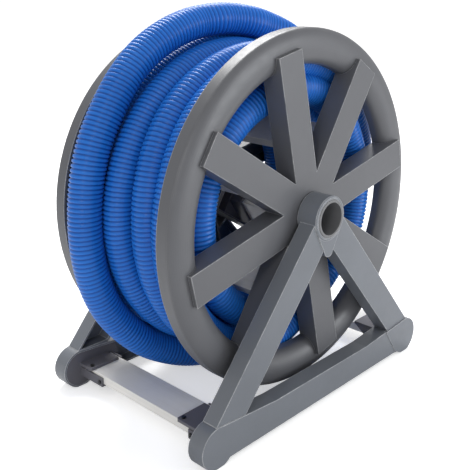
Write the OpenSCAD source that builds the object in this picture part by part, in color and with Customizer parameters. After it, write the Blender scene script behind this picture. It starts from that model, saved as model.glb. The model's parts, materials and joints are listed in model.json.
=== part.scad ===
// Pool vacuum-hose reel: two A-frames joined by two aluminium crossbars carry a
// drum of two spoked wheels and four aluminium bars, with the hose wound on it.
// X is left to right, Y runs along the axle from front (-Y) to rear (+Y), Z is up.
// The origin is on the floor, under the middle of the axle.

/* [Wheels] */
// Outer radius of each wheel
wheel_r = 240; // [225:1:243]
// Inner radius of the wheel's rim
rim_inner_r = 194; // [188:1:200]
// Distance from the middle of the drum to the hose side of a rim
rim_back = 90; // [89:1:94]
// Height of the rim's crest above the middle of the drum
rim_crest = 116; // [112:1:117]
// Wall thickness of the moulded rim
rim_wall = 4; // [3:0.5:5]
// Number of spokes on a wheel
spoke_count = 8; // [8]
// Width of a spoke
spoke_w = 43; // [38:1:46]
// Height of the spokes' flat face above the middle of the drum
spoke_face = 122; // [120:0.5:123]
// Depth of a spoke's side walls
spoke_depth = 31; // [26:1:32]
// Radius at which the spokes end on the rim
spoke_tip_r = 217; // [210:1:222]
// Angle of the first spoke from the X axis
spoke_phase = 102.5; // [90:0.5:112]

/* [Drum] */
// Width of an aluminium profile
profile_w = 49; // [44:1:50]
// Thickness of an aluminium profile
profile_t = 13; // [11:0.5:14]
// Wall thickness of an aluminium profile
profile_wall = 1.5; // [1.2:0.1:2.5]
// Radius from the axle to the middle of a drum bar
bar_r = 103; // [98:1:103]
// Turn of a drum bar's wide side away from the spoke's direction
bar_tilt = -25; // [-28:1:-15]

/* [Axle] */
// Height of the axle above the floor
axle_z = 267; // [266:1:285]
// Outer radius of the hollow stub axle
journal_r = 25.7; // [24:0.1:26.5]
// Bore radius of the hollow stub axle
journal_bore_r = 21.8; // [18:0.1:22]
// Running gap between the stub axle and its bearing, on the radius
journal_gap = 0.05; // [0.02:0.01:0.10]

/* [Frame] */
// Distance from the middle of the drum to the inner face of an A-frame
frame_in = 128; // [127:0.5:130]
// Distance from the middle of the drum to the outer face of the legs
frame_out = 151.5; // [150:0.5:153]
// Width of a leg
leg_w = 41.5; // [36:0.5:44]
// Distance from the middle of the frame to the centre of a foot
foot_x = 204.5; // [200:0.5:208]
// Radius of a foot
foot_r = 28; // [26:0.5:29]
// Depth of the flat that each foot stands on
foot_flat = 1; // [0.5:0.1:2]
// Height of the top of the base rail
rail_top = 46; // [43:0.5:48]
// Height of the underside of the base rail
rail_low = 6; // [5:0.5:10]
// Outer radius of the bearing boss
boss_r = 30; // [29.5:0.5:32]
// Wall thickness of the moulded frame
frame_wall = 3; // [3:0.5:4]

/* [Hose] */
// Outer diameter of the corrugated hose
hose_d = 44; // [42:0.5:44.5]
// Inner radius of the winding
coil_in_r = 129.3; // [129:0.1:131]
// Length of a hose cuff
cuff_len = 70; // [60:1:72]
// Outer radius of a hose cuff's collar
cuff_r = 23; // [22.5:0.1:23]
// Bore radius of a hose cuff
cuff_bore_r = 19; // [18:0.1:19.5]

/* [Hidden] */
$fn = 96;

moulded = "#7a7d82";
moulded_dark = "#45474d";
aluminium = "#c9cacb";
steel = "#3c3e42";
hose_blue = "#2a66bd";

foot_z = foot_r - foot_flat;
bearing_r = journal_r + journal_gap;

// Rim profile: the rounded crest and the roundings on both sides of it
crest_r = 218;
outer_round_from = 106;
inner_round_from = 99;

// Spoke and hub plate
plate_t = 4;
spoke_wall = 3;
hub_open_r = 50;
spoke_inner_start = 57;
tip_wall = 4;
spoke_back = spoke_face - spoke_depth;

// Stub axle
flange_r = 46;
flange_t = 5;
flange_face = spoke_face - plate_t;
journal_end = 155.5;
journal_inner_end = 96;
axle_screw_count = 4;
axle_screw_r = 36;

// Screws under the spoke tips
rim_screw_r = 205.5;
rim_screw_from = 106.8;

// Drum bars and their sockets
bar_count = 4;
bar_end = 114;
bar_floor = spoke_face - plate_t;
bar_socket_len = 60;
bar_socket_w = spoke_w - 2 * spoke_wall - 0.4;
front_socket_in = 98;
rear_socket_in = spoke_back - 0.4;
bar_collar_wall = 4;
bar_collar_open = 2;
rear_collar_in = 68;
bar_screw_z = front_socket_in + 7;

// Depth by which a straight edge runs into the round end that it meets
join = 0.3;

// A-frame
leg_angle = atan2(axle_z - foot_z, foot_x);
leg_len = norm([foot_x, axle_z - foot_z]);
rail_out = frame_out + 1;
cap_out = rail_out + 1;
cap_seat = rail_out - 3;
shield_out = 153;
boss_out = 154.5;
boss_edge = 2;
boss_in = spoke_face + 1;
tail_r = 9;
tail_z = -44;
bore_end = 160;
rail_rise = 5;
rise_x = foot_x - foot_r * sin(rail_rise) - (foot_z + foot_r * cos(rail_rise) - rail_top) / tan(rail_rise);
tongue_w = 22;
tongue_in = 137;
tongue_low = 16;
tongue_len = 70;
cap_top = [152, 50];
cap_low = [180, 8];
rib_places = [90, 140, 190, 240];
rib_t = 2.5;
frame_screw_x = foot_x - 9;
frame_screw_z = foot_z + 10.6;
frame_screw_len = 12;

// Crossbars and their sockets
left_bar_x = -176.5;
right_bar_x = 203.5;
crossbar_z = 26;
crossbar_end = 135;
socket_wall = 4;
socket_side_wall = 3;
socket_block_in = 128;
socket_block_out = 134;
socket_corner = 2;
socket_gusset = 24;
left_lips = [5, -5.5];
right_lips = [3.5, 2.5];
front_top = 78;
front_side_plate = 97;
rear_top = 102;
rear_side_plate = 80;
side_low = 15.5;
side_high = 28.5;
socket_screw_in = 22.5;
socket_screw_z = 22;

// Hose winding: four turns side by side in two layers, and a loose turn on top
turn_y = [for (i = [0:3]) (1.5 - i) * hose_d];
layer_1_r = coil_in_r + hose_d / 2;
layer_2_r = layer_1_r + hose_d;
layer_3_r = 240;
layer_3_y = hose_d;
layer_3_from = 66;
layer_3_sweep = 224;
layer_3_end_y = 16;
layer_3_end_from = 21;
layer_3_end_sweep = 50;

// Hose cuffs: radius and angle of the middle of each, and its place along the axle
outer_cuff_r = 237.5;
outer_cuff_angle = 14;
outer_cuff_y = 0;
inner_cuff_r = 146.5;
inner_cuff_angle = -77.5;
inner_cuff_y = 67;
cuff_collar_len = 26;
cuff_spigot_r = 21;
cuff_gap = 0.4;

// Turns a shape drawn in the wheel's plane (X, Y) with its height along Z into
// the front side of the reel: local Y becomes up, local Z points to the front.
module front_side() {
    translate([0, 0, axle_z]) rotate([90, 0, 0]) children();
}

module rear_side() {
    mirror([0, 1, 0]) front_side() children();
}

// The rear A-frame is the front one's mirror image.
module rearward() {
    mirror([0, 1, 0]) children();
}

// Points of a quarter ellipse about a centre, between two angles
function arc_points(cx, cy, rx, ry, a0, a1, steps) =
    [for (i = [0:steps]) let (a = a0 + (a1 - a0) * i / steps) [cx + rx * cos(a), cy + ry * sin(a)]];

// Outline of the rim: radius across, height above the middle of the drum up
function rim_outline(inset, low) = concat(
    [[wheel_r - inset, low]],
    arc_points(crest_r, outer_round_from, wheel_r - crest_r - inset,
               rim_crest - outer_round_from - inset, 0, 90, 10),
    arc_points(crest_r, inner_round_from, crest_r - rim_inner_r - inset,
               rim_crest - inner_round_from - inset, 90, 180, 12),
    [[rim_inner_r + inset, low]]
);

module rim_envelope() {
    rotate_extrude($fn = 180) polygon(rim_outline(0, rim_back));
}

module rim_shape() {
    difference() {
        rim_envelope();
        rotate_extrude($fn = 180) polygon(rim_outline(rim_wall, rim_back - 1));
        rim_screw_places(rim_back - 1, 60, 1.6);
    }
}

// Screws that hold the spider's tips on the rim, one under each spoke
module rim_screw_places(from, length, radius) {
    for (i = [0:spoke_count - 1])
        rotate([0, 0, spoke_phase + i * 360 / spoke_count])
            translate([rim_screw_r, 0, from]) cylinder(h = length, r = radius, $fn = 24);
}

module each_spoke() {
    for (i = [0:spoke_count - 1])
        rotate([0, 0, spoke_phase + i * 360 / spoke_count]) children();
}

// Outline of the spider: the spokes' edges meet each other round the hub
module spider_outline() {
    step = 360 / spoke_count;
    valley_r = spoke_w / 2 / sin(step / 2);
    tip = norm([spoke_tip_r, spoke_w / 2]);
    half = atan2(spoke_w / 2, spoke_tip_r);
    polygon([
        for (i = [0:spoke_count - 1])
            for (corner = [[valley_r, -step / 2], [tip, -half], [tip, half]])
                let (a = spoke_phase + i * step + corner[1])
                    [corner[0] * cos(a), corner[0] * sin(a)]
    ]);
}

module spider_shape() {
    difference() {
        translate([0, 0, spoke_back]) linear_extrude(spoke_depth) spider_outline();
        each_spoke()
            translate([spoke_inner_start, spoke_wall - spoke_w / 2, spoke_back - 1])
                cube([rim_inner_r - tip_wall - spoke_inner_start, spoke_w - 2 * spoke_wall,
                      flange_face - spoke_back + 1]);
        translate([0, 0, spoke_back - 1]) cylinder(h = flange_face - spoke_back + 1, r = hub_open_r);
        translate([0, 0, spoke_back]) cylinder(h = spoke_depth + 1, r = journal_r);
        rim_envelope();
        axle_screw_places(flange_face - 1, 3, 1.7);
        rim_screw_places(rim_back, spoke_face - rim_back - 2, 1.6);
    }
}

module axle_screw_places(from, length, radius) {
    for (i = [0:axle_screw_count - 1])
        rotate([0, 0, 45 + i * 360 / axle_screw_count])
            translate([axle_screw_r, 0, from]) cylinder(h = length, r = radius, $fn = 24);
}

module stub_axle_shape() {
    difference() {
        union() {
            translate([0, 0, journal_inner_end])
                cylinder(h = journal_end - journal_inner_end - 1, r = journal_r);
            translate([0, 0, journal_end - 1]) cylinder(h = 1, r1 = journal_r, r2 = journal_r - 1);
            translate([0, 0, flange_face - flange_t]) cylinder(h = flange_t, r = flange_r);
        }
        translate([0, 0, journal_inner_end - 1])
            cylinder(h = journal_end - journal_inner_end + 2, r = journal_bore_r);
        axle_screw_places(flange_face - flange_t - 1, flange_t + 2, 1.7);
    }
}

// A small pan-head screw, head below and shank up
module screw(shank_r, length, head_r, head_h) {
    cylinder(h = length, r = shank_r, $fn = 24);
    translate([0, 0, -head_h]) cylinder(h = head_h, r = head_r, $fn = 24);
}

// Places something at drum bar n, with the bar's wide side along local X
module at_bar(n) {
    rotate([0, 0, spoke_phase - 45 + n * 360 / bar_count])
        translate([bar_r, 0, 0]) rotate([0, 0, bar_tilt]) children();
}

module profile(width, thickness, length) {
    difference() {
        translate([-width / 2, -thickness / 2, 0]) cube([width, thickness, length]);
        translate([-width / 2 + profile_wall, -thickness / 2 + profile_wall, -1])
            cube([width - 2 * profile_wall, thickness - 2 * profile_wall, length + 2]);
    }
}

module drum_bar(n) {
    color(aluminium)
        difference() {
            front_side() at_bar(n) translate([0, 0, -bar_end]) profile(profile_w, profile_t, 2 * bar_end);
            front_side() at_bar(n) drum_screw_hole();
            rear_side() at_bar(n) drum_screw_hole();
        }
}

// A bar socket fills a spoke's channel around the end of its bar
module bar_socket_shape(n, block_in, collar_in) {
    difference() {
        union() {
            rotate([0, 0, spoke_phase - 45 + n * 360 / bar_count])
                translate([bar_r - bar_socket_len / 2, -bar_socket_w / 2, block_in])
                    cube([bar_socket_len, bar_socket_w, bar_floor - block_in]);
            if (collar_in < block_in)
                at_bar(n)
                    translate([-profile_w / 2 - bar_collar_wall, -profile_t / 2 - bar_collar_wall, collar_in])
                        cube([profile_w + bar_collar_wall - bar_collar_open,
                              profile_t + 2 * bar_collar_wall, block_in - collar_in]);
        }
        at_bar(n) translate([-profile_w / 2, -profile_t / 2, collar_in - 1])
            cube([profile_w, profile_t, bar_end - collar_in + 1]);
        at_bar(n) drum_screw_hole();
    }
}

module drum_screw_hole() {
    translate([0, 0, bar_screw_z]) rotate([-90, 0, 0]) cylinder(h = 24, r = 1.6, $fn = 24);
}

module front_bar_socket(n) {
    color(moulded_dark) front_side() bar_socket_shape(n, front_socket_in, front_socket_in);
}

module rear_bar_socket(n) {
    color(moulded_dark)
        rear_side() bar_socket_shape(n, rear_socket_in, rear_collar_in);
}

// Outline of both legs in the frame's own plane, X across and Y up from the floor
module leg_outline(width) {
    for (side = [-1, 1])
        along_leg(side) translate([0, -width / 2]) square([leg_len, width]);
}

// Outline of the base rail: its top edge rises gently to the top of each foot
module rail_outline(inset) {
    touch_r = foot_r - inset - join;
    touch = [foot_x - touch_r * sin(rail_rise), foot_z + touch_r * cos(rail_rise)];
    polygon([
        [-foot_x, rail_low + inset], [foot_x, rail_low + inset], touch, [rise_x, rail_top - inset],
        [-rise_x, rail_top - inset], [-touch[0], touch[1]]
    ]);
    for (side = [-1, 1])
        translate([side * foot_x, foot_z]) circle(r = foot_r - inset);
}

// Outline of a foot cap: the end of the rail beyond a slanted line
module cap_outline() {
    intersection() {
        rail_outline(0);
        polygon([[cap_top[0], 80], cap_top, cap_low, [cap_low[0], -5], [260, -5], [260, 80]]);
    }
}

// Shield round the bearing: a disc with a tail between the legs
module shield_outline() {
    side = acos((boss_r - tail_r) / -tail_z);
    top = [(boss_r - join) * sin(side), -(boss_r - join) * cos(side)];
    low = [(tail_r - join) * sin(side), tail_z - (tail_r - join) * cos(side)];
    circle(r = boss_r);
    translate([0, tail_z]) circle(r = tail_r);
    polygon([top, low, [-low[0], low[1]], [-top[0], top[1]]]);
}

// Extrudes an outline in the frame's plane from one depth to another, at the front
module frame_slab(from, to) {
    rotate([90, 0, 0]) translate([0, 0, from]) linear_extrude(to - from) children();
}

module leg_frame_shape() {
    difference() {
        union() {
            frame_slab(frame_in, frame_out)
                difference() {
                    leg_outline(leg_w);
                    rail_outline(0);
                }
            frame_slab(boss_in, shield_out) translate([0, axle_z]) circle(r = boss_r);
            front_side() translate([0, 0, shield_out])
                cylinder(h = boss_out - shield_out, r1 = boss_r, r2 = boss_r - boss_edge);
            frame_slab(frame_in, shield_out) translate([0, axle_z]) shield_outline();
            leg_tongues();
        }
        frame_slab(frame_in - 1, frame_out - frame_wall)
            difference() {
                leg_outline(leg_w - 2 * frame_wall);
                translate([-foot_x - foot_r, 0]) square([2 * (foot_x + foot_r), rail_top + 10]);
                translate([0, axle_z]) shield_outline();
                leg_ribs();
            }
        frame_slab(boss_in - 1, bore_end) translate([0, axle_z]) circle(r = bearing_r);
        frame_screw_places();
    }
}

// Places a flat outline at a foot, with X along the leg towards the axle
module along_leg(side) {
    translate([side * foot_x, foot_z])
        rotate(side > 0 ? 180 - leg_angle : leg_angle) children();
}

// Cross ribs in a leg's channel
module leg_ribs() {
    for (side = [-1, 1])
        along_leg(side)
            for (place = rib_places)
                translate([place, -leg_w / 2]) square([rib_t, leg_w]);
}

// Tongues that reach from the legs down into the base rail
module leg_tongues() {
    frame_slab(tongue_in, cap_seat - frame_wall)
        intersection() {
            for (side = [-1, 1])
                along_leg(side) translate([-4, -tongue_w / 2]) square([tongue_len, tongue_w]);
            translate([-foot_x - 12, tongue_low]) square([2 * foot_x + 24, 60]);
        }
}

module frame_screw_places() {
    for (side = [-1, 1])
        translate([side * frame_screw_x, 1 - tongue_in, frame_screw_z])
            rotate([90, 0, 0]) cylinder(h = frame_screw_len + 1, r = 1.6, $fn = 24);
}

module base_rail_shape() {
    difference() {
        frame_slab(frame_in, rail_out) rail_outline(0);
        frame_slab(frame_in - 1, cap_seat - frame_wall) rail_outline(frame_wall);
        frame_slab(cap_seat, rail_out + 1) cap_outline();
        leg_tongues();
        below_floor();
        frame_screw_places();
    }
}

module foot_cap_shape() {
    difference() {
        frame_slab(cap_seat, cap_out) cap_outline();
        below_floor();
    }
}

module below_floor() {
    translate([-300, -200, -10]) cube([600, 400, 10]);
}

module crossbar(bar_x) {
    color(aluminium)
        translate([bar_x, crossbar_end, crossbar_z])
            rotate([90, 0, 0]) profile(profile_w, profile_t, 2 * crossbar_end);
}

// A crossbar socket at the front left, for a bar at bar_x; its block sits in the foot's hollow.
// The lips say how far the top plate runs past the bar's outer and inner sides.
module crossbar_socket_shape(bar_x, lips, top_reach, side_reach) {
    low = crossbar_z - profile_t / 2;
    high = crossbar_z + profile_t / 2;
    outer = bar_x - profile_w / 2;
    inner = bar_x + profile_w / 2;
    difference() {
        union() {
            // base plate inside the foot
            frame_slab(socket_block_in, socket_block_out)
                intersection() {
                    rail_outline(frame_wall);
                    translate([-foot_x - foot_r, 0]) square([foot_r + foot_x - 140, 80]);
                }
            // top plate, with its outer corner cut off
            translate([0, 0, high]) linear_extrude(socket_wall)
                polygon([
                    [outer - lips[0], -socket_block_in], [outer - lips[0], -top_reach - socket_corner],
                    [outer - lips[0] + socket_corner, -top_reach], [inner + lips[1], -top_reach],
                    [inner + lips[1], -socket_block_in]
                ]);
            // outer side plate, lower than the top of the profile
            translate([outer - socket_side_wall, -socket_block_in, side_low])
                cube([socket_side_wall, socket_block_in - side_reach, side_high - side_low]);
            // inner side plate, with a slanted end
            translate([inner, 0, 0]) rotate([90, 0, 90]) linear_extrude(socket_side_wall)
                polygon([
                    [-socket_block_in - 1, side_low], [-top_reach - socket_gusset, side_low],
                    [-top_reach - 1, high + 1], [-socket_block_in - 1, high + 1]
                ]);
            // bottom plate
            translate([outer - socket_side_wall, -socket_block_in, side_low])
                cube([profile_w + socket_side_wall + 1, socket_block_in - side_reach, low - side_low]);
        }
        translate([outer, -crossbar_end - 1, low]) cube([profile_w, crossbar_end, profile_t]);
        socket_screw_holes(bar_x, top_reach, side_reach, 1.4);
    }
}

// Two screws in each socket: one down through the top plate, one in from the side
module socket_screw_holes(bar_x, top_reach, side_reach, radius) {
    translate([bar_x - socket_screw_in, -top_reach - 6, crossbar_z]) cylinder(h = 40, r = radius, $fn = 24);
    translate([bar_x - profile_w / 2 - 10, -side_reach - 5, socket_screw_z])
        rotate([0, 90, 0]) cylinder(h = 14, r = radius, $fn = 24);
}

module socket_screw_pair(bar_x, top_reach, side_reach) {
    translate([bar_x - socket_screw_in, -top_reach - 6, crossbar_z + profile_t / 2 + socket_wall])
        rotate([180, 0, 0]) screw(1.4, socket_wall, 3, 1.6);
    translate([bar_x - profile_w / 2 - socket_side_wall, -side_reach - 5, socket_screw_z])
        rotate([0, 90, 0]) screw(1.4, socket_side_wall, 3, 1.6);
}

// The right crossbar's sockets are the left ones' mirror image, each for its own place
module mirrored_left() {
    mirror([1, 0, 0]) children();
}

module left_socket(top_reach, side_reach) {
    color(moulded_dark) crossbar_socket_shape(left_bar_x, left_lips, top_reach, side_reach);
}

module right_socket(top_reach, side_reach) {
    color(moulded_dark)
        mirrored_left() crossbar_socket_shape(-right_bar_x, right_lips, top_reach, side_reach);
}

module front_leg_frame() { color(moulded) leg_frame_shape(); }
module rear_leg_frame() { color(moulded) rearward() leg_frame_shape(); }
module front_base_rail() { color(moulded) base_rail_shape(); }
module rear_base_rail() { color(moulded) rearward() base_rail_shape(); }
module front_foot_cap() { color(moulded) foot_cap_shape(); }
module rear_foot_cap() { color(moulded) rearward() foot_cap_shape(); }
module left_crossbar() { crossbar(left_bar_x); }
module right_crossbar() { crossbar(right_bar_x); }

module front_left_socket() { left_socket(front_top, front_side_plate); }
module front_right_socket() { right_socket(front_top, front_side_plate); }
module rear_left_socket() { rearward() left_socket(rear_top, rear_side_plate); }
module rear_right_socket() { rearward() right_socket(rear_top, rear_side_plate); }

module socket_screws() {
    color(steel) {
        socket_screw_pair(left_bar_x, front_top, front_side_plate);
        mirrored_left() socket_screw_pair(-right_bar_x, front_top, front_side_plate);
        rearward() socket_screw_pair(left_bar_x, rear_top, rear_side_plate);
        rearward() mirrored_left() socket_screw_pair(-right_bar_x, rear_top, rear_side_plate);
    }
}

module frame_screw_set() {
    for (side = [-1, 1])
        translate([side * frame_screw_x, -tongue_in, frame_screw_z])
            rotate([90, 0, 0]) screw(1.6, frame_screw_len, 3.5, 2);
}

module frame_screws() {
    color(steel) {
        frame_screw_set();
        rearward() frame_screw_set();
    }
}

module front_rim() { color(moulded) front_side() rim_shape(); }
module rear_rim() { color(moulded) rear_side() rim_shape(); }
module front_spider() { color(moulded) front_side() spider_shape(); }
module rear_spider() { color(moulded) rear_side() spider_shape(); }
module front_stub_axle() { color(moulded) front_side() stub_axle_shape(); }
module rear_stub_axle() { color(moulded) rear_side() stub_axle_shape(); }

module axle_screw_set() {
    for (i = [0:axle_screw_count - 1])
        rotate([0, 0, 45 + i * 360 / axle_screw_count])
            translate([axle_screw_r, 0, flange_face - flange_t]) screw(1.7, flange_t + 2, 4, 2);
}

module axle_screws() {
    color(steel) {
        front_side() axle_screw_set();
        rear_side() axle_screw_set();
    }
}

module rim_screw_set() {
    for (i = [0:spoke_count - 1])
        rotate([0, 0, spoke_phase + i * 360 / spoke_count])
            translate([rim_screw_r, 0, rim_screw_from]) screw(1.6, 11, 3, 2);
}

module rim_screws() {
    color(steel) {
        front_side() rim_screw_set();
        rear_side() rim_screw_set();
    }
}

module drum_bar_1() { drum_bar(0); }
module drum_bar_2() { drum_bar(1); }
module drum_bar_3() { drum_bar(2); }
module drum_bar_4() { drum_bar(3); }
module front_bar_socket_1() { front_bar_socket(0); }
module front_bar_socket_2() { front_bar_socket(1); }
module front_bar_socket_3() { front_bar_socket(2); }
module front_bar_socket_4() { front_bar_socket(3); }
module rear_bar_socket_1() { rear_bar_socket(0); }
module rear_bar_socket_2() { rear_bar_socket(1); }
module rear_bar_socket_3() { rear_bar_socket(2); }
module rear_bar_socket_4() { rear_bar_socket(3); }

module drum_screws() {
    color(steel)
        for (n = [0:bar_count - 1]) {
            front_side() at_bar(n) drum_screw();
            rear_side() at_bar(n) drum_screw();
        }
}

// A grub screw from a socket's side into the wall of its bar
module drum_screw() {
    translate([0, profile_t / 2 - profile_wall, bar_screw_z])
        rotate([-90, 0, 0]) cylinder(h = 14, r = 1.6, $fn = 24);
}

// Section of the two full layers of the winding: turns side by side, filled inside
module winding_section() {
    for (y = turn_y) {
        translate([layer_1_r, y]) circle(d = hose_d);
        translate([layer_2_r, y]) circle(d = hose_d);
    }
    translate([coil_in_r + 6, turn_y[3]]) square([2 * hose_d - 12, turn_y[0] - turn_y[3]]);
    translate([layer_1_r, turn_y[3] - hose_d / 2 + 6]) square([hose_d, 4 * hose_d - 12]);
}

module hose_coil() {
    color(hose_blue)
        rear_side() {
            difference() {
                rotate_extrude($fn = 144) winding_section();
                rotate([0, 0, inner_cuff_angle])
                    translate([inner_cuff_r - cuff_r - 2, -cuff_len / 2, inner_cuff_y - cuff_r - cuff_gap])
                        cube([2 * cuff_r + 2 + cuff_gap, cuff_len + cuff_gap, 2 * cuff_r]);
            }
            loose_turn(layer_3_y, layer_3_from, layer_3_sweep);
            loose_turn(layer_3_end_y, layer_3_end_from, layer_3_end_sweep);
        }
}

// A stretch of the loose turn on top of the winding
module loose_turn(y, from, sweep) {
    rotate([0, 0, from])
        rotate_extrude(angle = sweep, $fn = 144) translate([layer_3_r, y]) circle(d = hose_d);
}

// A hose cuff along Z: the collar that holds the hose, then the plain spigot
module cuff() {
    difference() {
        union() {
            cylinder(h = cuff_collar_len, r = cuff_r);
            cylinder(h = cuff_len, r = cuff_spigot_r);
            translate([0, 0, cuff_len - 4]) cylinder(h = 4, r = cuff_spigot_r + 1);
        }
        translate([0, 0, -1]) cylinder(h = cuff_len + 2, r = cuff_bore_r);
    }
}

// Lays a cuff along the winding, its collar on the side of the larger angle
module cuff_place(radius, angle, y) {
    rear_side() rotate([0, 0, angle])
        translate([radius, cuff_len / 2, y]) rotate([90, 0, 0]) children();
}

module hose_inner_cuff() {
    color(hose_blue)
        cuff_place(inner_cuff_r, inner_cuff_angle, inner_cuff_y)
            translate([0, 0, cuff_len]) rotate([180, 0, 0]) cuff();
}

module hose_outer_cuff() {
    color(hose_blue) cuff_place(outer_cuff_r, outer_cuff_angle, outer_cuff_y) cuff();
}

front_leg_frame();
rear_leg_frame();
front_base_rail();
rear_base_rail();
front_foot_cap();
rear_foot_cap();
left_crossbar();
right_crossbar();
front_left_socket();
rear_left_socket();
front_right_socket();
rear_right_socket();
socket_screws();
frame_screws();
front_rim();
rear_rim();
front_spider();
rear_spider();
front_stub_axle();
rear_stub_axle();
axle_screws();
rim_screws();
drum_bar_1();
drum_bar_2();
drum_bar_3();
drum_bar_4();
front_bar_socket_1();
front_bar_socket_2();
front_bar_socket_3();
front_bar_socket_4();
rear_bar_socket_1();
rear_bar_socket_2();
rear_bar_socket_3();
rear_bar_socket_4();
drum_screws();
hose_coil();
hose_inner_cuff();
hose_outer_cuff();
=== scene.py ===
# %% [markdown]
# # A pool vacuum-hose reel
# The real object is a drum of two spoked plastic wheels, wound with a blue corrugated hose, that
# turns between two plastic A-frames. The rigid pieces come from the CAD frame, true in shape and
# size. This lesson gives each of them a finish, and builds the one thing that CAD can't show well:
# ten metres of ribbed hose, wound by hand and a little untidy.

# %% Load the frame
import json
import math

import bmesh
import bpy
import numpy as np
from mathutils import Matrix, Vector


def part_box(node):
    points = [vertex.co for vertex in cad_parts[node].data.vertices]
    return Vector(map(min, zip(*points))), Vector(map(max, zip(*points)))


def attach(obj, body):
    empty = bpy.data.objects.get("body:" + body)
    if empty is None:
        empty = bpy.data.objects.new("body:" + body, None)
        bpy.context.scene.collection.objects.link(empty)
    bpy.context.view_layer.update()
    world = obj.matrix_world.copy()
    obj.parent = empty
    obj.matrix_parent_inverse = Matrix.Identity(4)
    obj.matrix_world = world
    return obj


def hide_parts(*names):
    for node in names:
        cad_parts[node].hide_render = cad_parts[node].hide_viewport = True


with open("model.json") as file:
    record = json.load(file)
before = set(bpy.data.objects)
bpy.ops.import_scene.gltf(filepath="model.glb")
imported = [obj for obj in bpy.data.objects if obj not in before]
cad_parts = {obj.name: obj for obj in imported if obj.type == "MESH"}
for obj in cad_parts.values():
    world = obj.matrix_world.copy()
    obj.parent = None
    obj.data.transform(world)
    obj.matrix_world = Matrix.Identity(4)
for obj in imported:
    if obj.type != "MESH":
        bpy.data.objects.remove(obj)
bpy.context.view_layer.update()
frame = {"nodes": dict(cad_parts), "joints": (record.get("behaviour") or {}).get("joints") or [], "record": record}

MM = 0.001
scene = bpy.context.scene

# %% [markdown]
# ## Measures that everything else uses
# A lathe hand takes a few sizes off the workpiece and works out the rest. Here the axle's height
# comes from the joint, the wheel and its inner face from the rim's box, and the hose's thickness
# from the width between the wheels, which holds four turns side by side.

# %% Sizes from the frame
axle_z = frame["joints"][0]["pos_m"][2]
axle = Vector((0, 0, axle_z))
rim_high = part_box("front_rim")[1]
wheel_r = rim_high.z - axle_z
drum_half = -rim_high.y
side_clearance = 2 * MM
hose_d = (2 * drum_half - 2 * side_clearance) / 4
hose_r = hose_d / 2
layer_gap = 1.015 * hose_d  # a loose turn doesn't bed down into the layer under it
coil_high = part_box("hose_coil")[1]
loose_r = coil_high.z - axle_z - hose_r
outer_r = loose_r - layer_gap
inner_r = outer_r - hose_d
print(f"axle {axle_z:.3f} m up, wheel {2 * wheel_r:.3f} m, hose {hose_d * 1000:.1f} mm thick")

# %% [markdown]
# ## The camera
# The camera stands left of the front wheel and looks a little down on it, close enough for the
# near wheel to look clearly bigger than the far one. It looks straight at the axle, which keeps the
# sums simple, and the lens is then shifted to bring the whole reel to the middle of the picture.

# %% Camera
camera_azimuth = math.radians(-46.73)
camera_elevation = math.radians(16.15)
camera_distance = 1.076
camera_data = bpy.data.cameras.new("camera")
camera_data.sensor_width = 36.0
camera_data.lens = 57.8
camera_data.shift_x = -0.0188
camera_data.shift_y = -0.0829
camera_data.clip_start = 0.01
camera_data.clip_end = 100
camera = bpy.data.objects.new("camera", camera_data)
scene.collection.objects.link(camera)
camera_back = Vector((
    math.sin(camera_azimuth) * math.cos(camera_elevation),
    -math.cos(camera_azimuth) * math.cos(camera_elevation),
    math.sin(camera_elevation),
))
camera.location = axle + camera_back * camera_distance
camera.rotation_mode = "QUATERNION"
camera.rotation_quaternion = (-camera_back).to_track_quat("-Z", "Y")
scene.camera = camera
print("camera at", [round(v, 3) for v in camera.location])

# %% [markdown]
# ## The route of the wound hose
# A hose goes onto a drum turn by turn. The first layer runs from the rear wheel to the front one,
# the hose climbs on top of itself there, and the second layer runs back. One more loose turn lies
# over them, because ten metres don't fit in two layers. Each turn stays at its place along the
# axle for most of the way round, and steps over by one hose in a short stretch. A loop lays the
# tight turns of the first layer. The turns over it were wound by hand and sag, so each follows its
# own stations, measured. A station is the angle wound so far, the place along the
# axle and the radius, and smooth steps join them.

# %% Stations of the winding
# Angles are counted clockwise, seen from the front, from the +X side, over all the turns.
TURN = 360
inner_cuff_angle = 77.5
outer_cuff_angle = -14.0
inner_cuff_r = 146.5 * MM
outer_cuff_r = 237.5 * MM
inner_cuff_y = 67 * MM
outer_cuff_y = 0.0
inner_step = (60, 115)  # where a turn of the first layer steps over, after the +X side
second_step = (-60, -15)  # the second and the third turn of the outer layer
third_step = (-75, -30)
loose_climb = (-110, -45)
cuff_lead = 6.5  # degrees from the end of the hose to the middle of its outer cuff

# (angle, place along the axle in mm, radius in mm), counted from where the first layer ends
SLACK_TURN = (
    (-106, -66, 154), (-62, -66, 165), (-30, -66, 170), (0, -66, 177),
    (20, -66, 179), (46, -66, 169), (56, -66, 168), (110, -66, 198),
)
FIRST_OUTER_TURN = (
    (195, -66, 198), (228, -62, 198), (265, -66, 197), (310, -62, 199),
    (330, -51, 207), (347, -48, 213), (366, -32, 208), (392, -21, 201),
    (540, -22, 193), (588, -19, 198), (630, -21, 197),
)
# the same, but with the height in mm over the loose turn's usual radius
LOOSE_TURN = (
    (105, 33, -1), (130, 45, 1), (150, 50, 1), (185, 50, -4), (210, 50, -1), (240, 51, 5),
    (260, 50, 5), (270, 43, 5), (285, 34, 5), (300, 22, 4), (322, 7, 2),
)


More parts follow.
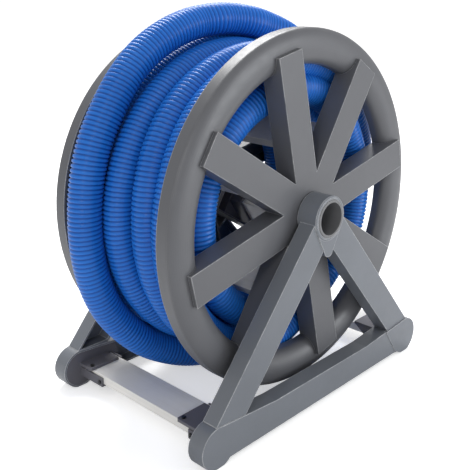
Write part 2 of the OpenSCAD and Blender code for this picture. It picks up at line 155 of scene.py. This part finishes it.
def stations():
    """(angle, y, radius) along the winding, from the rear of the first layer to the loose end."""
    places = [(1.5 - i) * hose_d for i in range(4)]
    route = [
        (inner_cuff_angle + 2, inner_cuff_y, inner_cuff_r),
        (inner_cuff_angle + 24, places[0], inner_r),
    ]
    for turn in range(3):
        end = TURN * (turn + 1)
        route.append((end + inner_step[0], places[turn], inner_r))
        route.append((end + inner_step[1], places[turn + 1], inner_r))
    layer_end = 4 * TURN
    # the last inner turn lies slack against the front wheel, then climbs
    for angle, y, radius in SLACK_TURN + FIRST_OUTER_TURN:
        route.append((layer_end + angle, y * MM, radius * MM))
    second = layer_end + 2 * TURN
    third = second + TURN
    loose = third + TURN
    route += [
        (second + second_step[0], places[2], outer_r),
        (second + second_step[1], places[1], outer_r + 1 * MM),
        (second + 100, places[1], outer_r + 1 * MM),
        (second + 170, 26 * MM, outer_r + 5 * MM),
        (third + third_step[0], 25 * MM, outer_r + 4 * MM),
        (third + third_step[1], places[0], outer_r),
        (loose + loose_climb[0], places[0], outer_r),
        (loose + loose_climb[1], 62 * MM, loose_r - 2 * MM),
        (loose + 30, 60 * MM, loose_r - 2 * MM),
    ]
    for angle, y, extra in LOOSE_TURN:
        route.append((loose + angle, y * MM, loose_r + extra * MM))
    route.append((loose + TURN + outer_cuff_angle - cuff_lead, outer_cuff_y, outer_cuff_r + 1.2 * MM))
    return route


winding = stations()
print(len(winding), "stations,", round((winding[-1][0] - winding[0][0]) / TURN, 2), "turns")


# %% The hose's centreline
def smooth_between(stops, values, at):
    """Values at the stops, joined by smooth steps that start and end level."""
    i = np.clip(np.searchsorted(stops, at, side="right") - 1, 0, len(stops) - 2)
    share = np.clip((at - stops[i]) / (stops[i + 1] - stops[i]), 0, 1)
    share = share * share * (3 - 2 * share)
    return values[i] + (values[i + 1] - values[i]) * share


def winding_line(route, degrees_apart=1.0):
    stops, ys, radii = (np.array(column, float) for column in zip(*route))
    angles = np.linspace(stops[0], stops[-1], int((stops[-1] - stops[0]) / degrees_apart) + 1)
    y = smooth_between(stops, ys, angles)
    r = smooth_between(stops, radii, angles)
    turned = np.radians(-angles)
    return np.stack([r * np.cos(turned), y, axle_z + r * np.sin(turned)], axis=1)


line = winding_line(winding)

# %% [markdown]
# ## The ribbed hose itself
# The hose is blown with one rib that winds round it like a screw thread, about 5.7 mm from crest
# to crest. A displacement map would need millions of faces to show it, so the tube's rings follow
# the thread themselves: each column of points round the tube is moved on by its share of a rib.
# Three rings a rib, two on the crest and one in the groove, give a true ribbed outline for few faces.

# %% Hose mesh
rib_pitch = 5.7 * MM
groove_depth = 2.1 * MM
hose_sides = 18
RIB = ((0.0, 0.0), (0.44, 0.0), (0.72, 1.0))  # share of the pitch, share of the groove's depth


def hose_mesh(name, points, radius):
    along = np.concatenate([[0], np.cumsum(np.linalg.norm(np.diff(points, axis=0), axis=1))])
    tangent = np.gradient(points, along, axis=0)
    tangent /= np.linalg.norm(tangent, axis=1)[:, None]
    outward = points - np.array([0, 0, axle_z])
    outward[:, 1] = 0
    outward -= (outward * tangent).sum(1)[:, None] * tangent
    outward /= np.linalg.norm(outward, axis=1)[:, None]
    sideways = np.cross(tangent, outward)

    def at(s, values):
        return np.stack([np.interp(s, along, values[:, k]) for k in range(3)], axis=-1)

    rings = len(RIB)
    ribs = int(along[-1] / rib_pitch) - 1
    row, column = np.meshgrid(np.arange(ribs * rings), np.arange(hose_sides), indexing="ij")
    share = np.array([r[0] for r in RIB])[row % rings]
    depth = np.array([r[1] for r in RIB])[row % rings]
    s = (row // rings + share + column / hose_sides) * rib_pitch
    turn = 2 * np.pi * column / hose_sides
    r = radius - groove_depth * depth
    spots = at(s, points) + r[..., None] * (
        np.cos(turn)[..., None] * at(s, outward) + np.sin(turn)[..., None] * at(s, sideways))
    faces = []
    number = row * hose_sides + column
    last = ribs * rings - 1
    a, b = number[:last, :-1].ravel(), number[:last, 1:].ravel()
    faces += np.stack([a, b, b + hose_sides, a + hose_sides], axis=1).tolist()
    seam = number[:last - rings, -1]
    join = number[rings:last, 0]
    faces += np.stack([seam, join, join + hose_sides, seam + hose_sides], axis=1).tolist()
    mesh = bpy.data.meshes.new(name)
    mesh.from_pydata(spots.reshape(-1, 3).tolist(), [], faces)
    groove = mesh.attributes.new("groove", "FLOAT", "POINT")
    groove.data.foreach_set("value", depth.ravel().astype(np.float32))
    mesh.shade_smooth()
    mesh.update()
    return mesh


hose = bpy.data.objects.new("wound_hose", hose_mesh("wound_hose", line, hose_r))
scene.collection.objects.link(hose)
print(len(hose.data.polygons), "faces on the hose")

# %% [markdown]
# ## Cuffs
# Each end of a vacuum hose is pushed and glued into a moulded cuff, a collar with grip ribs and a
# plain mouth that fits a 38 mm spigot. A cuff is turned like a pot on a wheel: one outline, spun
# round its axis. The grip ribs are a ripple of the collar's radius.


# %% Cuff maker
def lathe(name, outline, sides, ripple=0.0, ripples=0):
    """Spins an outline of (along, radius, rippled) points round Z into a closed mesh."""
    mesh = bpy.data.meshes.new(name)
    spots, faces = [], []
    for along, radius, rippled in outline:
        for k in range(sides):
            angle = 2 * math.pi * k / sides
            r = radius + (ripple * math.cos(ripples * angle) if rippled else 0)
            spots.append((r * math.cos(angle), r * math.sin(angle), along))
    for i in range(len(outline)):
        j = (i + 1) % len(outline)
        for k in range(sides):
            m = (k + 1) % sides
            faces.append((i * sides + k, j * sides + k, j * sides + m, i * sides + m))
    mesh.from_pydata(spots, [], faces)
    mesh.validate()
    mesh.update()
    fix = bmesh.new()
    fix.from_mesh(mesh)
    bmesh.ops.recalc_face_normals(fix, faces=fix.faces)
    fix.to_mesh(mesh)
    fix.free()
    return mesh


cuff_length = 70 * MM
cuff_r = 23 * MM
cuff_bore = 19 * MM
spigot_r = 21 * MM
# (mm along the cuff, radius, whether the grip ribs ripple it): collar, spigot, lip, then the bore
cuff_outline = [(a * MM, r, bool(grip)) for a, r, grip in (
    (0, cuff_bore + 1 * MM, 0), (0, cuff_r - 1.4 * MM, 0),
    (1.2, cuff_r - 0.4 * MM, 0), (3, cuff_r - 0.6 * MM, 1),
    (23, cuff_r - 0.6 * MM, 1), (25, cuff_r - 0.5 * MM, 0),
    (26, cuff_r - 1.2 * MM, 0), (27, spigot_r, 0),
    (64.5, spigot_r, 0), (65.5, spigot_r + 0.6 * MM, 0),
    (66.5, spigot_r + 1 * MM, 0), (69.2, spigot_r + 1 * MM, 0),
    (70, spigot_r + 0.4 * MM, 0), (70, cuff_bore + 0.5 * MM, 0),
    (69, cuff_bore, 0), (2, cuff_bore, 0),
)]


def add_cuff(name, node, angle, radius, y, mouth_way):
    """Lays a cuff along the winding at that angle; its mouth points to mouth_way, +1 counter-clockwise."""
    cuff = bpy.data.objects.new(name, lathe(name, cuff_outline, 96, 0.5 * MM, 24))
    scene.collection.objects.link(cuff)
    turned = math.radians(-angle)
    out = Vector((math.cos(turned), 0, math.sin(turned)))
    axis = Vector((-math.sin(turned), 0, math.cos(turned))) * mouth_way
    cuff.rotation_mode = "QUATERNION"
    cuff.rotation_quaternion = axis.to_track_quat("Z", "Y")
    cuff.location = axle + out * radius + Vector((0, y, 0)) - axis * cuff_length / 2
    for polygon in cuff.data.polygons:
        polygon.use_smooth = True
    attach(cuff, "reel")
    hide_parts(node)
    return cuff


inner_cuff = add_cuff("inner_cuff", "hose_inner_cuff", inner_cuff_angle, inner_cuff_r, inner_cuff_y, 1)
outer_cuff = add_cuff("outer_cuff", "hose_outer_cuff", outer_cuff_angle, outer_cuff_r, outer_cuff_y, -1)
print("cuffs made")

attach(hose, "reel")
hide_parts("hose_coil")

# %% [markdown]
# ## Shared effects for the finishes
# Moulded plastic is never one flat colour. It has a fine spark-eroded grain and slow cloudy changes
# of tone where it cooled. Its corners are painted paler, a painted highlight along the edges, broken
# up by the noise that also varies the roughness. One node group makes all of that from numbers that
# each material gives it, so the grey frame, the dark sockets and the blue cuffs share one recipe.


# %% Node helpers
def new_group(name, inputs, outputs):
    group = bpy.data.node_groups.new(name, "ShaderNodeTree")
    for socket, kind, value in inputs:
        made = group.interface.new_socket(name=socket, in_out="INPUT", socket_type=kind)
        made.default_value = value
    for socket, kind in outputs:
        group.interface.new_socket(name=socket, in_out="OUTPUT", socket_type=kind)
    start = group.nodes.new("NodeGroupInput")
    end = group.nodes.new("NodeGroupOutput")
    return group, start, end


def add_node(tree, kind, **settings):
    node = tree.nodes.new(kind)
    for key, value in settings.items():
        setattr(node, key, value)
    return node


def math_node(tree, operation, a, b=None):
    node = add_node(tree, "ShaderNodeMath", operation=operation)
    for k, value in enumerate((a, b)):
        if value is None:
            continue
        if isinstance(value, (int, float)):
            node.inputs[k].default_value = value
        else:
            tree.links.new(value, node.inputs[k])
    return node.outputs[0]


def mix_colour(tree, share, a, b):
    node = add_node(tree, "ShaderNodeMix", data_type="RGBA")
    for socket, value in ((node.inputs[0], share), (node.inputs[6], a), (node.inputs[7], b)):
        if isinstance(value, (int, float)):
            socket.default_value = value
        elif isinstance(value, tuple):
            socket.default_value = value
        else:
            tree.links.new(value, socket)
    return node.outputs[2]


def noise(tree, scale, detail=3.0, roughness=0.5, vector=None):
    node = add_node(tree, "ShaderNodeTexNoise")
    node.inputs["Scale"].default_value = scale
    node.inputs["Detail"].default_value = detail
    node.inputs["Roughness"].default_value = roughness
    if vector is not None:
        tree.links.new(vector, node.inputs["Vector"])
    return node.outputs["Fac"]


def map_range(tree, value, low, high, to_low=0.0, to_high=1.0):
    node = add_node(tree, "ShaderNodeMapRange")
    tree.links.new(value, node.inputs["Value"])
    for name, number in (("From Min", low), ("From Max", high), ("To Min", to_low), ("To Max", to_high)):
        node.inputs[name].default_value = number
    return node.outputs["Result"]


def object_place(tree):
    return add_node(tree, "ShaderNodeTexCoord").outputs["Object"]


print("node helpers ready")


# %% Moulded skin group
def moulded_skin_group():
    """Colour, roughness and height of moulded plastic: grain, clouds of tone and a painted highlight on corners.
    """
    group, start, end = new_group("moulded_skin", [
        ("Colour", "NodeSocketColor", (0.2, 0.2, 0.21, 1)),
        ("Painted Highlight Colour", "NodeSocketColor", (0.4, 0.4, 0.42, 1)),
        ("Painted Highlight", "NodeSocketFloat", 0.4),
        ("Roughness", "NodeSocketFloat", 0.45),
        ("Corner", "NodeSocketFloat", 0.0),
    ], [("Colour", "NodeSocketColor"), ("Roughness", "NodeSocketFloat"), ("Height", "NodeSocketFloat")])
    place = object_place(group)
    clouds = noise(group, 9, 3, 0.55, place)
    grain = noise(group, 900, 2, 0.6, place)
    scuff_and_highlight_noise = noise(group, 60, 6, 0.7, place)
    tone = map_range(group, clouds, 0.3, 0.7, 0.0, 0.16)
    darker = mix_colour(group, tone, start.outputs["Colour"], (0.05, 0.05, 0.055, 1))
    # painted highlight: corners are mixed toward a paler colour, unevenly, as a painted line of light
    painted_edge_highlight = math_node(group, "MULTIPLY", start.outputs["Corner"], start.outputs["Painted Highlight"])
    painted_edge_highlight = math_node(group, "MULTIPLY", painted_edge_highlight, map_range(group, scuff_and_highlight_noise, 0.35, 0.65, 0.25, 1.0))
    group.links.new(mix_colour(group, painted_edge_highlight, darker, start.outputs["Painted Highlight Colour"]), end.inputs["Colour"])
    uneven = map_range(group, scuff_and_highlight_noise, 0.3, 0.75, -0.05, 0.09)
    group.links.new(math_node(group, "ADD", start.outputs["Roughness"], uneven), end.inputs["Roughness"])
    group.links.new(grain, end.inputs["Height"])
    return group


moulded_skin = moulded_skin_group()


# %% Corner finder group
def corner_group():
    """0 on flat faces, 1 along corners: a rounded normal differs from the plain one only there."""
    group, start, end = new_group("corners", [("Width", "NodeSocketFloat", 2.0 * MM)],
                                  [("Corner", "NodeSocketFloat")])
    rounded = add_node(group, "ShaderNodeBevel", samples=6)
    group.links.new(start.outputs["Width"], rounded.inputs["Radius"])
    plain = add_node(group, "ShaderNodeNewGeometry").outputs["Normal"]
    alike = add_node(group, "ShaderNodeVectorMath", operation="DOT_PRODUCT")
    group.links.new(rounded.outputs["Normal"], alike.inputs[0])
    group.links.new(plain, alike.inputs[1])
    group.links.new(map_range(group, alike.outputs["Value"], 0.995, 0.9), end.inputs["Corner"])
    return group


corners = corner_group()
print("groups:", [g.name for g in bpy.data.node_groups])

# %% [markdown]
# ## Finishes
# Each finish is one Principled shader. A small bevel in the shader rounds the sharp CAD corners
# by a millimetre or so, as a mould does, so that every edge catches a thin line of light. On the
# plastics that line is also painted into the colour, as a painted highlight along the corners.


# %% Plastic maker
def new_material(name):
    material = bpy.data.materials.new(name)
    material.use_nodes = True
    tree = material.node_tree
    return material, tree, tree.nodes["Principled BSDF"]


def rounded_normal(tree, radius, height=None, strength=0.1, distance=0.0002):
    bevel = add_node(tree, "ShaderNodeBevel", samples=6)
    bevel.inputs["Radius"].default_value = radius
    if height is None:
        return bevel.outputs["Normal"]
    bump = add_node(tree, "ShaderNodeBump")
    bump.inputs["Strength"].default_value = strength
    bump.inputs["Distance"].default_value = distance
    tree.links.new(height, bump.inputs["Height"])
    tree.links.new(bevel.outputs["Normal"], bump.inputs["Normal"])
    return bump.outputs["Normal"]


def moulded_plastic(name, colour, painted_highlight_colour, roughness, painted_edge_highlight=0.4, edge=1.0 * MM, grain=0.12):
    material, tree, shader = new_material(name)
    skin = add_node(tree, "ShaderNodeGroup", node_tree=moulded_skin)
    skin.inputs["Colour"].default_value = colour
    skin.inputs["Painted Highlight Colour"].default_value = painted_highlight_colour
    skin.inputs["Painted Highlight"].default_value = painted_edge_highlight
    skin.inputs["Roughness"].default_value = roughness
    corner = add_node(tree, "ShaderNodeGroup", node_tree=corners)
    tree.links.new(corner.outputs["Corner"], skin.inputs["Corner"])
    tree.links.new(skin.outputs["Colour"], shader.inputs["Base Color"])
    tree.links.new(skin.outputs["Roughness"], shader.inputs["Roughness"])
    tree.links.new(rounded_normal(tree, edge, skin.outputs["Height"], grain), shader.inputs["Normal"])
    return material


big_edge = 1.5 * MM
# each plastic's second colour is painted along its corners as a painted highlight
frame_grey = moulded_plastic(
    "frame_grey", (0.164, 0.178, 0.202, 1), (0.70, 0.71, 0.73, 1), 0.40, painted_edge_highlight=0.9, edge=big_edge)
wheel_grey = moulded_plastic(
    "wheel_grey", (0.112, 0.115, 0.126, 1), (0.64, 0.645, 0.655, 1), 0.38, painted_edge_highlight=0.8, edge=big_edge)
axle_grey = moulded_plastic("axle_grey", (0.15, 0.152, 0.158, 1), (0.45, 0.45, 0.46, 1), 0.33)
socket_dark = moulded_plastic("socket_dark", (0.130, 0.128, 0.150, 1), (0.20, 0.198, 0.21, 1), 0.5)
cuff_blue = moulded_plastic("cuff_blue", (0.010, 0.10, 0.42, 1), (0.03, 0.20, 0.60, 1), 0.34, edge=0.4 * MM)
print("plastics ready")

# %% [markdown]
# ### Aluminium
# The bars are extruded, so the die leaves fine lines along them. Noise that is stretched a hundred
# times along the bar gives those lines, in tone, in roughness and in a very shallow bump.


# %% Drawn lines group and aluminium
def drawn_lines_group():
    group, start, end = new_group("drawn_lines", [("Fineness", "NodeSocketFloat", 1.0)],
                                  [("Lines", "NodeSocketFloat"), ("Stains", "NodeSocketFloat")])
    stretch = add_node(group, "ShaderNodeMapping")
    group.links.new(object_place(group), stretch.inputs["Vector"])
    stretch.inputs["Scale"].default_value = (420, 4, 420)
    group.links.new(noise(group, 1.0, 4, 0.6, stretch.outputs["Vector"]), end.inputs["Lines"])
    group.links.new(noise(group, 22, 4, 0.6, object_place(group)), end.inputs["Stains"])
    return group


drawn_lines = drawn_lines_group()
aluminium, tree, shader = new_material("drawn_aluminium")
lines = add_node(tree, "ShaderNodeGroup", node_tree=drawn_lines)
tone = map_range(tree, lines.outputs["Lines"], 0.3, 0.7, 0.0, 1.0)
bright = mix_colour(tree, tone, (0.84, 0.82, 0.78, 1), (0.90, 0.885, 0.85, 1))
stains = map_range(tree, lines.outputs["Stains"], 0.45, 0.8, 0.0, 0.25)
tree.links.new(mix_colour(tree, stains, bright, (0.70, 0.685, 0.655, 1)), shader.inputs["Base Color"])
tree.links.new(map_range(tree, lines.outputs["Lines"], 0.2, 0.8, 0.36, 0.52), shader.inputs["Roughness"])
die_lines = rounded_normal(tree, 0.5 * MM, lines.outputs["Lines"], strength=0.15, distance=0.1 * MM)
tree.links.new(die_lines, shader.inputs["Normal"])
shader.inputs["Metallic"].default_value = 0.08
print("aluminium ready")

# %% [markdown]
# ### Blackened screws
# Screw heads are small, so they need only a dark metal with a worn, uneven sheen.

# %% Screw steel
screw_steel, tree, shader = new_material("screw_steel")
wear = noise(tree, 400, 3, 0.6, object_place(tree))
wear = map_range(tree, wear, 0.4, 0.7)
black = mix_colour(tree, wear, (0.03, 0.03, 0.032, 1), (0.12, 0.12, 0.125, 1))
tree.links.new(black, shader.inputs["Base Color"])
tree.links.new(map_range(tree, wear, 0.3, 0.7, 0.3, 0.5), shader.inputs["Roughness"])
tree.links.new(rounded_normal(tree, 0.3 * MM), shader.inputs["Normal"])
shader.inputs["Metallic"].default_value = 0.9

# %% [markdown]
# ### Blue hose
# Blown polyethylene is glossy and slightly milky. Its colour is painted darker down in the grooves,
# a painted shade for the light that goes in and out there several times, and paler on the crests. The
# mesh carries a "groove" value on every point, 0 on the crests and 1 in the grooves, and the finish reads it.

# %% Hose finish
hose_blue, tree, shader = new_material("hose_blue")
groove = add_node(tree, "ShaderNodeAttribute", attribute_name="groove").outputs["Fac"]
cloud = noise(tree, 14, 3, 0.5, object_place(tree))
crest = mix_colour(tree, map_range(tree, cloud, 0.3, 0.7), (0.012, 0.146, 0.58, 1), (0.018, 0.172, 0.64, 1))
# painted shade: the colour is mixed toward a dark blue down in the grooves
depth = map_range(tree, groove, 0.0, 1.0, 0.0, 0.85)
tree.links.new(mix_colour(tree, depth, crest, (0.005, 0.055, 0.30, 1)), shader.inputs["Base Color"])
dust = noise(tree, 160, 4, 0.65, object_place(tree))
tree.links.new(map_range(tree, dust, 0.3, 0.75, 0.26, 0.42), shader.inputs["Roughness"])
shader.inputs["Specular IOR Level"].default_value = 0.26
print("hose finish ready")

# %% [markdown]
# ## Dressing every piece
# The record says which slot each CAD node takes its finish from, so the finishes go on by slot.

# %% Put the finishes on
FINISHES = {
    "frame_plastic": frame_grey, "wheel_plastic": wheel_grey, "sockets": socket_dark,
    "aluminium": aluminium, "screws": screw_steel, "hose": hose_blue, "cuffs": cuff_blue,
}
for part in frame["record"]["subparts"]:
    node = frame["nodes"][part["node"]]
    node.data.materials.clear()
    finish = axle_grey if "stub_axle" in part["node"] else FINISHES[part["material_slot"]]
    node.data.materials.append(finish)
hose.data.materials.append(hose_blue)
for cuff in (inner_cuff, outer_cuff):
    cuff.data.materials.append(cuff_blue)
print("dressed", len(frame["nodes"]), "nodes")

# %% [markdown]
# ## Floor and light
# A large pale floor stands in for the studio. A big soft panel low at the front right lights the
# faces that look forward and leaves the ones that look left in shade. A second panel, high up
# behind, draws bright lines on the upper edges, and a small one at the left gives the hose a sheen.
# The floor and the world are a little brighter to the camera than to the object, so the ground
# stays white without washing out the shaded sides.

# %% Floor
floor_mesh = bpy.data.meshes.new("floor")
floor_half = 40
floor_corners = [(x * floor_half, y * floor_half, 0) for x, y in ((-1, -1), (1, -1), (1, 1), (-1, 1))]
floor_mesh.from_pydata(floor_corners, [], [(0, 1, 2, 3)])
floor = bpy.data.objects.new("floor", floor_mesh)
scene.collection.objects.link(floor)
floor.location.z = -0.2 * MM
floor_white, tree, shader = new_material("floor_white")
shader.inputs["Base Color"].default_value = (0.92, 0.92, 0.92, 1)
shader.inputs["Roughness"].default_value = 0.9
shader.inputs["Emission Color"].default_value = (1, 1, 1, 1)
seen = add_node(tree, "ShaderNodeLightPath").outputs["Is Camera Ray"]
tree.links.new(map_range(tree, seen, 0, 1, 0.0, 0.5), shader.inputs["Emission Strength"])
floor.data.materials.append(floor_white)


# %% Lights
def soft_panel(name, place, target, size, power, tint=(1, 1, 1)):
    data = bpy.data.lights.new(name, "AREA")
    data.shape = "SQUARE"
    data.size = size
    data.energy = power
    data.color = tint
    panel = bpy.data.objects.new(name, data)
    scene.collection.objects.link(panel)
    panel.location = place
    panel.rotation_mode = "QUATERNION"
    panel.rotation_quaternion = (Vector(target) - Vector(place)).to_track_quat("-Z", "Y")
    return panel


soft_panel("right_key", (1.5, -2.6, 0.75), axle, 1.4, 34, (0.95, 0.975, 1))
soft_panel("top_back", (0.9, 1.3, 2.2), axle, 1.4, 64)
soft_panel("left_spark", (-2.2, -1.2, 1.6), axle, 0.5, 9)
world = bpy.data.worlds.new("studio")
scene.world = world
world.use_nodes = True
backdrop = world.node_tree.nodes["Background"]
seen = add_node(world.node_tree, "ShaderNodeLightPath").outputs["Is Camera Ray"]
backdrop.inputs["Color"].default_value = (1, 1, 1, 1)
world.node_tree.links.new(map_range(world.node_tree, seen, 0, 1, 0.66, 1.05), backdrop.inputs["Strength"])
scene.view_settings.view_transform = "Standard"
print("lit")
